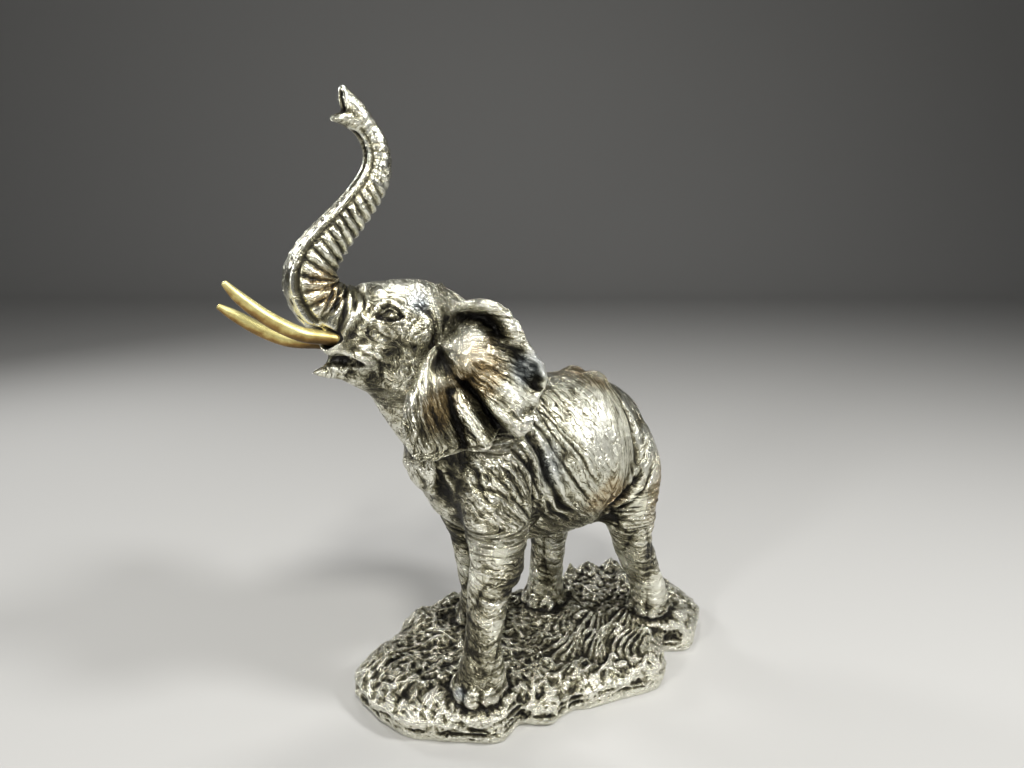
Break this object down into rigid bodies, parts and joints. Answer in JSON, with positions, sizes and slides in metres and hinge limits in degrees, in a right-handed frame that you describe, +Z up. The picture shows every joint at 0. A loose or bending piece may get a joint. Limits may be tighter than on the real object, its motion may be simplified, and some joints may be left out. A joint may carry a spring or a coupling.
{
  "type": "elephant statue",
  "caption": "Cast statuette of a walking elephant with raised trunk and inset gilt tusks, on a rough patch of ground, standing on its flat underside.",
  "frame": {"origin": "on the flat underside of the ground, midway between the four feet", "axes": "+Z up, the elephant faces -X, its left side is towards -Y"},
  "size_m": [0.2313, 0.1087, 0.2617],
  "materials": {
    "antique_silver": "thin silver skin over a casting, blackened in the hollows and rubbed bright on the ridges, with a warm tint on ear and belly",
    "gilt": "satin gilt, browner towards the root"
  },
  "bodies": {
    "root": {"elephant_and_ground": "antique_silver", "left_tusk": "gilt", "right_tusk": "gilt"}
  },
  "joints": []
}
